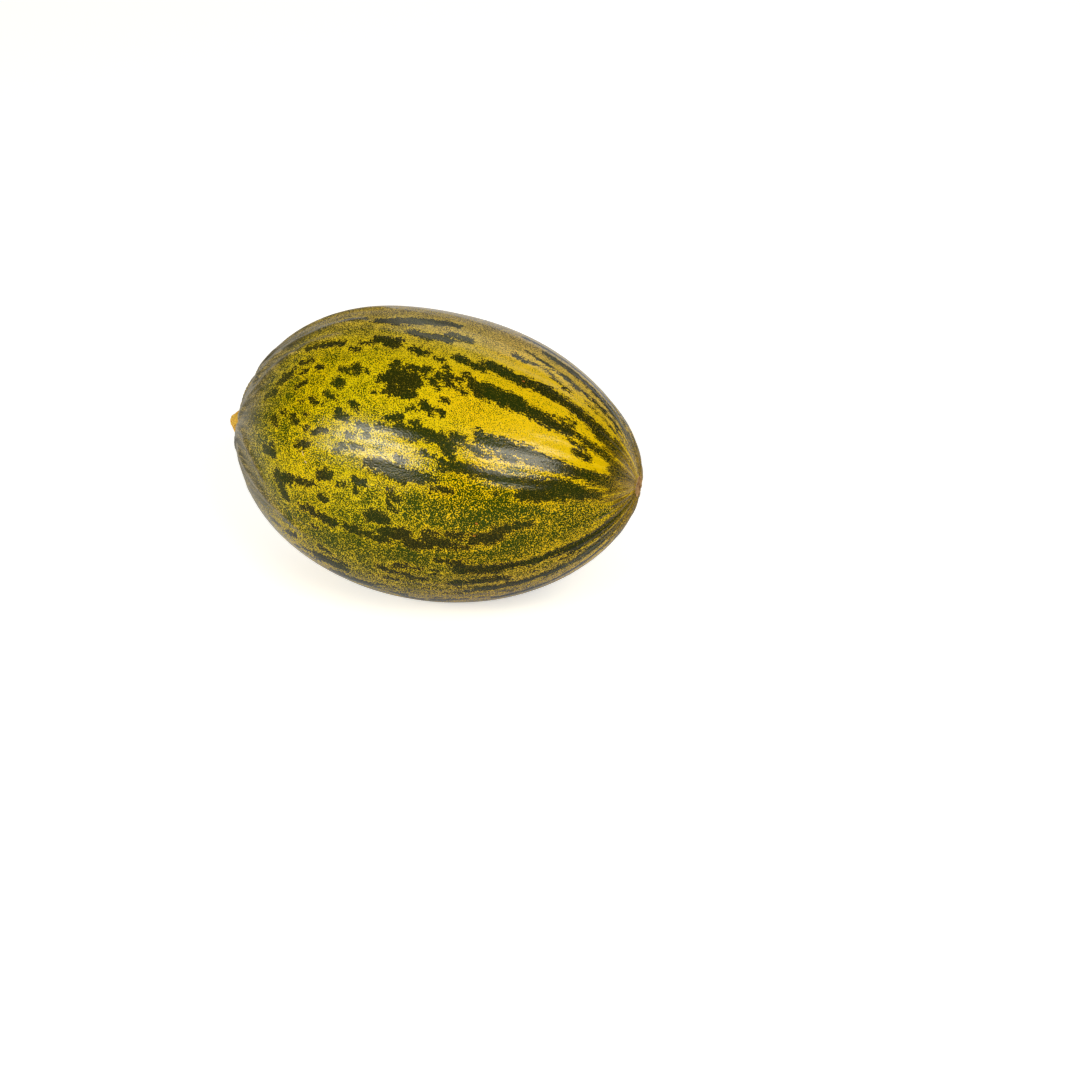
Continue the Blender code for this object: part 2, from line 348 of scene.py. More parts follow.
darkMarks = [
    (99, 91.5, 110, 91, 1.9), (119, 92, 128, 91, 2.8), (128, 91, 140, 87.5, 3.8),
    (140, 87.5, 152, 84, 3.6), (152, 84, 159, 83, 2.4), (139, 97, 150, 98, 2.6), (148, 97, 160, 96, 2.7),
    (158, 92, 169, 92, 2.8), (84.5, 109, 98, 107.8, 1.7), (98, 107.8, 106, 108, 1.8),
    (112, 111, 117, 111, 1.2), (116, 107.5, 124, 107, 1.0), (124, 104.5, 130, 105, 2.2),
    (129, 105, 135, 106.5, 2.8), (129, 103.5, 137, 104, 1.4), (96, 120.5, 98, 120.5, 1.4),
    (110, 121, 115, 121.5, 1.4), (119, 119.5, 120, 123, 2.0), (124, 120.5, 125, 121, 1.0),
    (83, 117, 91, 116.6, 1.1), (86, 123, 90, 121.5, 0.9), (71, 126.5, 79, 121.5, 2.0),
    (85, 130, 90, 128, 1.3), (64, 134.5, 71, 132, 1.9), (110, 127, 112.5, 127.5, 2.7),
    (105, 132.5, 111, 133.5, 1.3), (90, 137, 91, 137, 1.1), (97, 135.8, 98, 136, 1.1),
    (100, 137.2, 106, 137, 1.0), (121, 135, 127, 137, 1.2), (115.5, 139.5, 116, 141, 2.2),
    (115, 141, 121.5, 142.3, 1.7), (96, 142.5, 97, 142.5, 1.3), (74, 146, 77, 148, 1.9),
    (88, 145, 91, 146.5, 1.7), (79, 142.8, 82, 142.8, 0.9), (97, 148, 98, 148, 0.9),
    (103, 149.5, 109.5, 147.8, 1.3), (128, 143.3, 133.5, 144, 1.8), (139.5, 143, 145, 142.5, 1.4),
    (146, 138, 149.5, 137.2, 1.8), (156.5, 138.5, 160, 138, 1.3), (132, 147, 134, 147, 1.6),
    (124, 148, 126, 148, 1.2), (121, 153, 123, 153, 1.5), (117, 155, 119, 155, 1.4),
    (126, 151.8, 132, 152, 1.2), (94, 156.5, 100, 155, 1.9), (71.5, 162, 78, 163, 2.3),
    (75, 159, 76, 159, 1.2), (81.5, 172, 84, 176, 2.6), (84, 176, 87.5, 182, 2.1),
    (82, 173.5, 91, 173, 2.6), (91, 172.3, 104.5, 171.5, 1.8), (109, 166.5, 115, 166, 2.3),
    (112.5, 163.5, 113, 165, 1.0), (121, 168.3, 123, 168.3, 1.7), (129.5, 165, 134.5, 165.5, 2.1),
    (130.5, 168, 131, 170, 1.3), (110.5, 175.5, 112.5, 177, 1.9), (103.5, 183, 107.5, 185, 2.1),
    (108.5, 185.5, 110, 185.5, 1.1), (112.5, 185, 118.5, 186.2, 2.5), (125.5, 186, 131, 186.2, 2.1),
    (133.5, 186.5, 139, 186.8, 2.2), (139, 178.3, 147, 178.6, 3.3), (146, 184.8, 152, 184, 3.0),
    (143, 188, 149, 188, 1.6), (105, 191.5, 106, 191.5, 1.1), (98, 184, 100, 184, 1.1),
    (149.5, 170, 150.5, 174, 1.1), (153, 173.5, 154, 173.5, 1.0), (152, 153, 153.5, 155, 1.6),
    (137, 157, 147, 157, 2.9), (147, 157.5, 156, 159.5, 4.2), (156, 159, 168, 158.5, 3.5),
    (168, 158.3, 172.5, 158.5, 2.2), (135, 159, 136, 159, 1.1), (140, 160.3, 141, 160.3, 1.0),
    (155, 153.6, 156, 153.6, 1.5), (163, 149.5, 170, 150, 1.3), (176, 153.8, 179, 153.8, 1.6),
    (176.5, 162, 182, 162, 1.5), (171, 162.7, 172, 162.7, 1.2), (152.5, 169, 155, 169, 1.4),
    (150.3, 166, 150.5, 168, 1.5), (202, 161.3, 204, 161.3, 1.0), (135, 123.3, 141, 121.5, 2.3),
    (140.5, 122, 151, 122.3, 5.4), (142, 127.3, 152, 127.5, 3.4), (144.5, 116.7, 157, 115.9, 1.5),
    (137.5, 117, 140, 117, 1.5), (163, 117.4, 170, 118.6, 1.6), (133.5, 123.8, 137, 123, 1.5),
    (139, 115, 141, 114.6, 1.2), (132.5, 129.3, 133, 129.3, 1.1), (138, 128.7, 139, 128.7, 1.3),
    (145.5, 107.3, 152, 107.6, 2.1), (158, 108.5, 162, 109, 1.5), (155.5, 115.2, 157, 115.2, 1.1),
    (164.5, 112.5, 167, 112.8, 1.3), (159, 119.3, 161, 119.6, 1.2), (162.5, 121, 164.5, 122.5, 1.7),
    (165, 116, 175, 116, 1.4), (168, 120, 170, 120, 1.0), (176.3, 120.5, 178, 120.8, 1.8),
    (169.5, 126.8, 172, 127.2, 1.4), (160.5, 130.5, 164, 132.5, 2.2), (168.5, 131.8, 170.5, 132.5, 1.7),
    (152.5, 134, 155.5, 133.6, 1.4), (142.5, 138.8, 143.5, 139, 1.1), (150, 142, 160, 143.3, 3.2),
    (161, 142, 172, 142.3, 3.0), (172.5, 142.5, 178, 146, 3.6), (178.5, 141, 183, 140.3, 2.6),
    (174.5, 145.5, 179.5, 148.7, 2.6), (185, 143.5, 190, 143.5, 1.6), (191.5, 145, 198, 145.5, 1.8),
    (175.5, 151.3, 183.5, 152.5, 2.2), (191, 137, 194, 138.2, 2.6), (193, 139, 201, 139.5, 3.8),
    (201, 139.5, 220, 141, 4.0), (220, 142, 236, 144.5, 4.0), (203, 143.3, 211, 144.5, 2.2),
    (236, 145.5, 262, 150.5, 4.2), (183.5, 152.5, 201, 153.5, 2.9), (201, 153.5, 220, 156, 3.4),
    (220, 156, 245, 157, 4.8), (216, 161, 240, 162, 3.0), (245, 156, 275, 157, 6.5),
    (271, 146, 282, 148, 6.5), (168, 105.3, 184, 106.8, 2.3), (184, 103.5, 205, 105, 3.8),
    (205, 104.5, 220, 103.2, 3.7), (220, 103.4, 237, 105, 3.3), (237, 105, 253, 109.5, 3.4),
    (175.5, 113, 181, 115, 1.7), (181, 116.5, 189, 118.2, 3.3), (186, 117.3, 207, 118, 5.0),
    (207, 118.3, 226, 120.8, 3.6), (226, 120.8, 237, 121.5, 3.0), (241, 122, 262, 125, 2.0),
    (226, 116, 238, 117.5, 1.0), (232, 113, 238, 114.5, 1.1), (240, 127, 247, 128.2, 1.2),
    (241.5, 131.5, 250, 134.5, 1.7), (252, 108, 275, 112, 5.0), (262, 120, 282, 128, 5.0),
    (268, 135, 284, 140, 4.0), (193, 90, 200, 91, 1.7), (201, 89.5, 208, 89.5, 1.1),
    (212, 90, 217, 91, 1.2), (216, 93, 221, 93, 0.9), (222, 94.5, 228, 94.5, 0.9),
    (198, 83, 210, 84.5, 1.8), (211, 85.5, 222, 86.5, 1.2), (222, 86.5, 240, 89, 2.2),
    (238, 94.3, 262, 98.3, 1.5), (240, 87.5, 262, 88, 2.0), (262, 93, 280, 98, 3.0),
    (205, 75, 222, 76, 2.8), (222, 76, 255, 77, 3.0), (255, 77, 278, 79, 2.6), (190, 67, 262, 66, 2.4),
    (240, 58, 276, 56, 2.6), (169, 181, 174, 181, 1.7), (152, 184, 158, 183.2, 3.5),
    (160.5, 187.2, 172, 187, 3.3), (170, 184.7, 180, 185.5, 3.2), (180, 181.2, 187, 181.2, 2.0),
    (194, 182.5, 206, 181.5, 3.8), (181, 187, 190, 187.5, 1.3), (205, 178.5, 222, 176, 2.6),
    (174, 195, 180, 195.5, 1.4), (180, 196, 190, 196, 1.3), (107, 202, 113, 203.5, 1.1),
    (115.5, 206, 120, 207.5, 1.3), (121, 208, 124, 208.5, 1.0), (141, 203, 147, 203.5, 1.2),
    (150, 205, 157, 205, 1.3), (143, 210, 150, 210, 1.2), (157, 207, 165, 207, 1.6),
]

goldMarks = [                        # thin gold lines left between the dark stripes, written the same way
    (247, 118.3, 268, 121, 0.6), (268, 121, 286, 124, 0.5), (262, 98, 285, 103, 1.0),
    (226, 97.5, 250, 99, 2.6), (250, 99, 259, 101.5, 2.2), (229, 148.5, 246, 152, 0.9),
    (246, 152, 264, 157.5, 1.1), (232, 90.5, 256, 92, 1.6), (262, 90, 284, 94, 0.9),
    (255, 134, 262, 137, 2.4), (272, 108, 287, 112, 0.4), (270, 150, 287, 154, 0.5),
    (264, 164, 286, 168, 0.6),
]

scuffs = [                           # s, turn, s, turn, half width, colour
    (47.5, 132.5, 44.5, 136, 0.3, "scuffOrange"), (57.5, 146.8, 57.5, 148.3, 0.5, "pit"),
    (44, 157.5, 45.2, 158.5, 0.25, "scuffTan"), (46.4, 159.2, 47.6, 160.2, 0.3, "scuffTan"),
    (48.2, 161, 49.6, 162, 0.3, "scuffTan"), (51, 162.5, 52.2, 163.5, 0.25, "scuffTan"),
    (97, 158.5, 98, 160, 0.2, "scuffTan"), (99.5, 162.5, 100.3, 163, 0.3, "scuffTan"),
    (204, 104.5, 204.6, 104.5, 0.35, "scuffOrange"), (195, 175, 195.6, 175.2, 0.4, "scuffOrange"),
    (194, 181, 194.5, 181, 0.35, "scuffOrange"),
]

netPatches = [                       # s, turn, reach along, reach across, change of the net's density
    (222, 131, 38, 12, -0.48), (221, 151.5, 24, 6, 0.3), (262, 168, 26, 16, 0.16),
    (252, 136, 17, 9, -0.6), (216, 96.5, 44, 8, -0.4), (215, 111, 42, 7, -0.32), (170, 108, 22, 12, -0.1),
    (113, 126, 25, 9, -0.1), (168, 128, 22, 9, -0.14), (94, 165, 9, 6, -0.14), (160, 147, 14, 6, -0.1),
    (186, 148, 14, 5, -0.12), (76, 150, 14, 30, 0.1), (62, 138, 26, 26, 0.12), (95, 138, 30, 26, 0.12),
    (105, 115, 16, 6, 0.08), (175, 170, 36, 13, 0.2), (130, 202, 90, 26, 0.2), (215, 172, 32, 14, 0.18),
    (150, 190, 50, 10, 0.14), (185, 205, 60, 36, 0.2), (110, 92, 40, 12, 0.12), (240, 84, 40, 7, -0.2),
]

backMarks = {                        # random marks beyond the camera's side
    "seed": 23,
    "seenTurn": (62, 200),           # turns that the camera sees, left to the strokes above
    "endFrom": 262,
    "seenEndTurn": (70, 165),        # past endFrom
    "dots": (150, (68, 190), (0, 360), (0.5, 6), 1.5, (0.8, 2.4)),   # count, s, turn, length, slant, half
    "bars": (46, (95, 200), (0, 360), (8, 24), 2, (1.6, 3.8)),
    "dashes": (150, (85, 240), (192, 300), (2, 11), 0.6, (0.3, 1.1)),    # thin and dark, low in front
    "rows": 20,
    "rowStart": (165, 200),
    "rowEnd": 14,                    # before the blossom pole
    "rowStep": (16, 32),
    "rowShare": 0.9,
    "rowLean": 4,
    "rowSlant": 1.5,
    "rowHalf": (2.2, 4.4),
}

netDrift = {                         # the net's density, and its random patches on the back
    "base": 0.56,
    "patches": 46,
    "turn": (-118, 60),
    "s": (80, 270),
    "reachAlong": (12, 40),
    "reachAcross": (6, 14),
    "change": (-0.4, 0.3),
    "acrossShare": 1.2,
}

zones = {                            # where the zones begin and end, painted sheen among them: s in mm, turn in degrees
    "strokeReach": 6.0,
    "streakyFrom": 178,
    "streakySpread": 12,
    "drawnOut": 0.5,
    "heldPast": 180,
    "stemReach": 60,
    "stemSpread": 6.5,
    "stemBulges": [(16, 105, 24), (7, 188, 26)],    # how far, turn, width
    # fold crests take more of the stem-end colour: a painted highlight along the ridges
    "foldPaintedHighlight": 0.5,
    "wobble": [(5, 3, 1), (4, 7, 0)],               # how far, waves round the girth, start
    "blossomFrom": 264,
    "blossomSpread": 7,
    "blossomWobble": 0.6,
    "unscarred": -20,
    # brown: tan, greyer bands along the top and bottom outline, a painted rim sheen
    "brown": [(262, 52, 0), (60, 38, 14)],          # turn, width, shift near the blossom end
    "paintedSheenShift": (196, 10),                        # where that shift comes in: s, spread
}


def strokeField(s, turn, radius, strokes, reach):
    field = np.full(len(s), -reach)
    perDegree = radius * math.pi / 180
    for fromS, fromTurn, toS, toTurn, half in strokes:
        alongSkin, across = s - fromS, wrapped(turn - fromTurn) * perDegree
        runS, runAcross = toS - fromS, (toTurn - fromTurn) * perDegree
        lengthSquared = runS**2 + runAcross**2 + 1e-6                # never zero
        share = np.clip((alongSkin * runS + across * runAcross) / lengthSquared, 0, 1)
        field = np.maximum(field, half - np.hypot(alongSkin - share * runS, across - share * runAcross))
    return np.minimum(field, reach)


def unseenStrokes(meridian):
    draw = np.random.default_rng(backMarks["seed"])
    strokes = []

    def keep(s, turn, length, slant, half):
        low, high = backMarks["seenEndTurn" if s > backMarks["endFrom"] else "seenTurn"]
        if not low <= turn % 360 <= high:
            strokes.append((s, turn, s + length, turn + slant, half))

    def scatter(name):
        count, places, turns, lengths, slant, halves = backMarks[name]
        for _ in range(count):
            s, turn, length = draw.uniform(*places), draw.uniform(*turns), draw.uniform(*lengths)
            keep(s, turn, length, draw.uniform(-slant, slant), draw.uniform(*halves))

    scatter("dots")
    scatter("bars")
    rowLean, rowSlant, rowHalf = backMarks["rowLean"], backMarks["rowSlant"], backMarks["rowHalf"]
    for turn in np.arange(0, 360, 360 / backMarks["rows"]):
        s, lean = draw.uniform(*backMarks["rowStart"]), draw.uniform(-rowLean, rowLean)
        while s < meridian - backMarks["rowEnd"]:
            step = draw.uniform(*backMarks["rowStep"])
            keep(s, turn + lean, step, draw.uniform(-rowSlant, rowSlant), draw.uniform(*rowHalf))
            s += step * backMarks["rowShare"]
            lean += draw.uniform(-rowSlant, rowSlant)
    scatter("dashes")
    return strokes


def netDensity(s, turn, radius):
    draw = np.random.default_rng(backMarks["seed"] + 1)
    density = np.full(len(s), netDrift["base"])
    perDegree = radius * math.pi / 180
    patches = list(netPatches)
    for _ in range(netDrift["patches"]):
        names = ("turn", "s", "reachAlong", "reachAcross", "change")
        middle, patchS, *rest = [draw.uniform(*netDrift[name]) for name in names]
        patches.append((patchS, middle % 360, *rest))
    for patchS, patchTurn, reachS, reachAcross, change in patches:
        across = wrapped(turn - patchTurn) * perDegree / (reachAcross * netDrift["acrossShare"])
        density += change * np.exp(-((s - patchS) / reachS) ** 2 - across**2)
    return density


def foldRelief(s, degrees, radius):
    height, crease = np.zeros(len(s)), np.zeros(len(s))
    for foldHeight, width, path in relief["folds"]:
        legs = [(*start, *end, 0.0) for start, end in zip(path, path[1:])]
        away = strokeField(s, degrees, radius, legs, relief["foldReach"] * width)
        ridge = bell(away, 0, width)
        height += foldHeight * ridge
        crease = np.maximum(crease, ridge)
    return height, crease


def setFloats(mesh, name, values):
    made = mesh.attributes.new(name, "FLOAT", "POINT")
    made.data.foreach_set("value", np.asarray(values, np.float32))


def setVectors(mesh, name, values):
    made = mesh.attributes.new(name, "FLOAT_VECTOR", "POINT")
    made.data.foreach_set("vector", np.asarray(values, np.float32).ravel())


def paintZones(mesh, s, along, turn, radius, meridian, crease):
    degrees = np.degrees(turn) % 360
    reach = zones["strokeReach"]
    blotches = strokeField(s, degrees, radius, darkMarks + unseenStrokes(meridian), reach)
    golds = strokeField(s, degrees, radius, goldMarks, reach)
    setFloats(mesh, "blotch", np.minimum(blotches, -golds))
    setFloats(mesh, "netDensity", netDensity(s, degrees, radius))

    streakyFrom, spread = zones["streakyFrom"], zones["streakySpread"]
    setFloats(mesh, "streaky", ramp(s, streakyFrom, spread))
    eased = s - zones["drawnOut"] * spread * np.log1p(np.exp((s - streakyFrom) / spread))
    heldRadius = radius[np.argmin(np.abs(s - zones["heldPast"]))]
    held = np.where(s > zones["heldPast"], heldRadius, radius)
    setVectors(mesh, "flowPlace", np.stack([eased, held * np.cos(turn), held * np.sin(turn)], -1))
    girth = form["girthRadius"]
    setVectors(mesh, "grainPlace", np.stack([s, girth * np.cos(turn), girth * np.sin(turn)], -1))

    wobble = sum(far * np.sin(waves * turn + start) for far, waves, start in zones["wobble"])
    stemReach = zones["stemReach"] - wobble
    for far, middle, width in zones["stemBulges"]:
        stemReach += far * bell(wrapped(degrees - middle), 0, width)
    # paler along the fold crests: painted highlight
    stemEnd = ramp(stemReach, s, zones["stemSpread"]) + zones["foldPaintedHighlight"] * crease
    setFloats(mesh, "stemEnd", np.clip(stemEnd, 0, 1))
    blossomPlace = s + zones["blossomWobble"] * wobble
    setFloats(mesh, "blossomEnd", ramp(blossomPlace, zones["blossomFrom"], zones["blossomSpread"]))
    setFloats(mesh, "scar", np.where(along > 0, form["scarRim"][0] - radius, zones["unscarred"]))
    shifting = ramp(s, *zones["paintedSheenShift"])
    # painted rim sheen along the top and bottom outline
    brown = np.zeros(len(s))
    for middle, width, shift in zones["brown"]:
        brown += np.exp(-((wrapped(degrees - middle + shift * shifting) / width) ** 4))  # flat on top
    setFloats(mesh, "brown", np.clip(brown, 0, 1))


def makeSkin():
    bm = bmesh.new()
    bmesh.ops.create_grid(bm, x_segments=form["segments"], y_segments=form["rings"], size=1.0)
    for vert in bm.verts:                                         # wrapped into a ball
        around, up = math.pi * vert.co.x, math.pi * (vert.co.y + 1) / 2
        vert.co = (math.sin(up) * math.cos(around), math.sin(up) * math.sin(around), -math.cos(up))
    rim = [vert for vert in bm.verts if vert.is_boundary]
    bmesh.ops.remove_doubles(bm, verts=rim, dist=form["mergeDistance"])
    bmesh.ops.recalc_face_normals(bm, faces=bm.faces)
    mesh = meshFrom(bm, "rindSkin")
    ball = np.empty(len(mesh.vertices) * 3, np.float32)
    mesh.vertices.foreach_get("co", ball)
    ball = ball.reshape(-1, 3).astype(float)
    even = np.arccos(np.clip(-ball[:, 2], -1, 1))
    poleAngle = even - form["poleCrowding"] * np.sin(2 * even) / 2
    turn = np.arctan2(ball[:, 1], ball[:, 0])
    along, sine = -np.cos(poleAngle), np.sin(poleAngle)
    radius = smoothRadius(along)
    s, meridian = arcLength(along)
    packed = packedRelief(along, turn, radius)
    place = skinPlace(along, sine, turn, radius, packed)
    shift = np.array([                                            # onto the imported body
        fruitHigh.x * 1000 - place[:, 0].max(),
        (fruitLow.y + fruitHigh.y) / 2 * 1000 - (place[:, 1].min() + place[:, 1].max()) / 2,
        fruitHigh.z * 1000 - place[:, 2].max(),
    ])
    socketRadius, socketDepth, softness = form["socket"]
    inSocket = np.where(along < 0, ramp(socketRadius, radius, softness), 0)
    folds, crease = foldRelief(s, np.degrees(turn) % 360, radius)
    height = packed + fineRelief(along, turn, radius) + folds - socketDepth * inSocket
    place = skinPlace(along, sine, turn, radius, height) + shift
    place = np.clip(place, np.array(fruitLow) * 1000, np.array(fruitHigh) * 1000)
    mesh.vertices.foreach_set("co", (place / 1000).astype(np.float32).ravel())
    mesh.update()
    paintZones(mesh, s, along, turn, radius, meridian, crease)
    mesh.shade_smooth()
    return linked("rindSkin", mesh), Vector(shift / 1000)


# Finish of the rind, with painted sheen at the stem end and along the outline

rindLook = {
    "gold": rgb(238, 200, 1),
    "lemon": rgb(220, 198, 1),
    "ochre": rgb(206, 166, 3),
    # tan ground and the paler net further down: painted rim sheen along the outline
    "tan": rgb(226, 188, 98),
    "netGreen": rgb(50, 66, 2),
    "netInPaintedSheen": rgb(94, 82, 28),
    "dark": rgb(42, 44, 8),
    "darkGreen": rgb(40, 50, 7),
    "fleck": rgb(120, 106, 16),
    "goldFleck": rgb(190, 150, 8),
    # stem-end ground, its darker grain and its net: the grey waxy bloom's own colour with a painted grey
    # sheen mixed in
    "bloomAndSheen": rgb(200, 176, 104),
    "bloomAndSheenDark": rgb(84, 76, 40),
    "bloomAndSheenNet": rgb(70, 66, 36),
    "scar": rgb(196, 156, 104),
    "scarCrack": rgb(132, 92, 50),
    "scuffTan": rgb(214, 184, 132),
    "scuffOrange": rgb(196, 116, 34),
    "pit": rgb(44, 48, 10),
    "netSpacing": 0.62,                      # millimetres
    "netWarp": (2.2, 1.0, 0.5),              # a noise: its scale per mm, detail and roughness
    "netWarpShare": 0.4,
    "netDrift": (0.11, 4.0, 0.6),
    "netLevel": (0.5, 0.25),                 # by density, and at none
    "netEdge": 0.06,
    "clumps": 0.95,                          # how far the net's density wanders
    "halo": 0.22,
    "haloReach": (-3.5, -0.5),
    "ragged": [(4.2, 0.24, 2.0, 0.5), (6.8, 0.5, 3.0, 0.85), (3.2, 1.0, 1.0, 0.5)],  # reach, then a noise
    "cellEdge": 2.8,
    "spread": 0.85,
    "streakThin": 0.6,
    "endStretch": (0.08, 1.0, 1.0),
    "endGrain": (0.22, 3.0, 0.6),
    "endStreaks": 12.0,
    "endDark": 0.7,
    "darkEdge": 0.12,
    "darkAtStem": -0.35,
    "fleckSize": 0.5,
    "fleckCover": (-0.012, 0.22, 0.2),       # by depth in a blotch, at the blossom end, elsewhere
    "fleckEdge": 0.04,
    "goldFleckStretch": (0.7, 1.0, 1.0),
    "goldFleckSize": 0.62,
    "goldFleckCover": (-0.05, 0.52, 0.09),
    "goldFleckEdge": 0.03,
    "tone": (0.03, 2.0, 0.5),
    "toneSpan": (0.35, 0.65),
    "toneShare": 0.4,
    "deepSpan": (0.4, 0.6),
    "ochreGrain": (0.3, 3.0, 0.6),
    "ochreSpan": (0.3, 0.7, 0.0, 0.15),
    "paintedSheenShare": 0.6,
    "stemStretch": (0.12, 1.0, 1.0),
    "stemGrain": (0.34, 3.0, 0.65),
    "bloomAndSheenSpan": (0.36, 0.62),
    "scarGrain": (0.6, 2.0, 0.6),
    "scarRagged": 3.0,
    "scarEdge": 0.4,
    "crackStretch": (1.0, 1.0, 0.5),
    "crack": (1.3, 0.4, 0.05),               # size, cover, softness
    "wax": (0.9, 1.5, 0.6),
    "waxSpan": (0.3, 0.7),
    "roughness": (0.13, 0.23),
    "stemRoughness": 0.14,                   # added toward the stem
    "scarRoughness": 0.75,
    "specular": 0.5,
    "lengthwiseStretch": (0.25, 1.0, 1.0),
    "lengthwise": (0.45, 2.0, 0.5),
    "relief": {"wax": 0.2, "net": 0.06, "lengthwise": 0.08, "stem": 0.9},    # millimetres
    "reliefStrength": 0.6,
    "reliefDepth": 0.001,
}

speckleLook = {
    "detail": 1.0,
    "roughness": 0.45,
    "coverShare": -0.42,
    "uncovered": 0.71,
}

dashLook = {
    "grain": (1.6, 2.0, 0.6),
    "ragged": 0.9,
    "edge": 0.1,
}


def makeSpeckleGroup():
    inputs = ("Size", "Cover", "Softness")
    group, start, end = newGroup("fineSpeckle", ("Vector",), inputs, ("Mask", "Height"))
    scale = maths(group, "DIVIDE", 1.0, start["Size"])
    value = noise(group, start["Vector"], scale, speckleLook["detail"], speckleLook["roughness"])
    share, uncovered = speckleLook["coverShare"], speckleLook["uncovered"]
    level = timesPlus(group, start["Cover"], share, uncovered)
    low = maths(group, "SUBTRACT", level, start["Softness"])
    high = maths(group, "ADD", level, start["Softness"])
    feed(group, end["Mask"], remap(group, value, low, high))
    feed(group, end["Height"], value)
    return group


speckle = makeSpeckleGroup()


def speckled(tree, vector, size, cover, softness):
    values = {"Vector": vector, "Size": size, "Cover": cover, "Softness": softness}
    made = placeGroup(tree, speckle, values)
    return made["Mask"], made["Height"]


def skinPoint(s, degrees, shift):
    steps = np.linspace(0, math.pi, form["meridianSteps"] // 2 + 1)
    along = np.array([-math.cos(np.interp(s, arcLength(-np.cos(steps))[0], steps))])
    turn, radius = np.array([math.radians(degrees)]), smoothRadius(along)
    place = skinPlace(along, np.sqrt(1 - along**2), turn, radius, packedRelief(along, turn, radius))
    return Vector(place[0]) + shift * 1000


def makeDashGroup():
    group, start, end = newGroup("skinDash", ("Vector", "Start", "Run"), ("Length", "Half"), ("Mask",))

    def vectorMath(operation, inputs, output="Vector"):
        return addNode(group, "ShaderNodeVectorMath", inputs, operation=operation).outputs[output]

    offset = vectorMath("SUBTRACT", {0: start["Vector"], 1: start["Start"]})
    squared = times(group, start["Length"], start["Length"])
    onRun = vectorMath("DOT_PRODUCT", {0: offset, 1: start["Run"]}, "Value")
    share = maths(group, "DIVIDE", onRun, squared, clamp=True)
    scaled = vectorMath("SCALE", {0: start["Run"], "Scale": share})
    away = vectorMath("DISTANCE", {0: offset, 1: scaled}, "Value")
    grain = wander(group, start["Vector"], *dashLook["grain"])
    half = timesPlus(group, grain, dashLook["ragged"], start["Half"])
    inside = maths(group, "SUBTRACT", half, away)
    feed(group, end["Mask"], remap(group, inside, -dashLook["edge"], dashLook["edge"]))
    return group


dash = makeDashGroup()


def skinFields(tree):                    # what is known at each point of the skin
    names = ("blotch", "netDensity", "streaky", "stemEnd", "blossomEnd", "brown", "scar")
    on = {name: attribute(tree, name) for name in names}
    on["place"] = millimetres(tree)
    on["grain"] = attribute(tree, "grainPlace", "Vector")
    on["flow"] = attribute(tree, "flowPlace", "Vector")
    warp = wander(tree, on["place"], *rindLook["netWarp"])
    cellHeight = cells(tree, on["place"], rindLook["netSpacing"])
    on["netHeight"] = timesPlus(tree, warp, rindLook["netWarpShare"], cellHeight)
    on["tone"] = noise(tree, on["place"], *rindLook["tone"])
    stemPlace = stretched(tree, on["grain"], rindLook["stemStretch"])
    on["stemGrain"] = noise(tree, stemPlace, *rindLook["stemGrain"])
    return on


def blotchDepth(tree, on):               # ragged, drawn out near the blossom end, above zero in a blotch
    look, depth = rindLook, on["blotch"]
    for reach, *kind in look["ragged"]:
        depth = timesPlus(tree, wander(tree, on["flow"], *kind), reach, depth)
    endStreak = wander(tree, stretched(tree, on["grain"], look["endStretch"]), *look["endGrain"])
    depth = timesPlus(tree, times(tree, endStreak, on["blossomEnd"]), look["endStreaks"], depth)
    depth = timesPlus(tree, on["blossomEnd"], look["endDark"], depth)
    grown = timesPlus(tree, on["netHeight"], -look["cellEdge"], look["spread"] + look["cellEdge"] / 2)
    return maths(tree, "ADD", timesPlus(tree, on["streaky"], -look["streakThin"], depth), grown)


def blotchColour(tree, on, depth):
    look = rindLook

    def covered(kind):
        byDepth, byEnd, base = look[kind]
        return timesPlus(tree, depth, byDepth, timesPlus(tree, on["blossomEnd"], byEnd, base))

    flecks, _ = speckled(tree, on["place"], look["fleckSize"], covered("fleckCover"), look["fleckEdge"])
    place, cover = stretched(tree, on["grain"], look["goldFleckStretch"]), covered("goldFleckCover")
    goldFlecks, _ = speckled(tree, place, look["goldFleckSize"], cover, look["goldFleckEdge"])
    deep = blend(tree, remap(tree, on["tone"], *look["deepSpan"]), look["darkGreen"], look["dark"])
    deep = blend(tree, flecks, deep, look["fleck"])
    return blend(tree, times(tree, goldFlecks, on["streaky"]), deep, look["goldFleck"])


def fineNet(tree, on, depth):            # thinner right beside the blotches
    look = rindLook
    drift = wander(tree, on["flow"], *look["netDrift"])
    cover = timesPlus(tree, drift, look["clumps"], on["netDensity"])
    cover = timesPlus(tree, remap(tree, depth, *look["haloReach"]), -look["halo"], cover)
    aboveNet = maths(tree, "SUBTRACT", timesPlus(tree, cover, *look["netLevel"]), on["netHeight"])
    return remap(tree, aboveNet, -look["netEdge"], look["netEdge"])


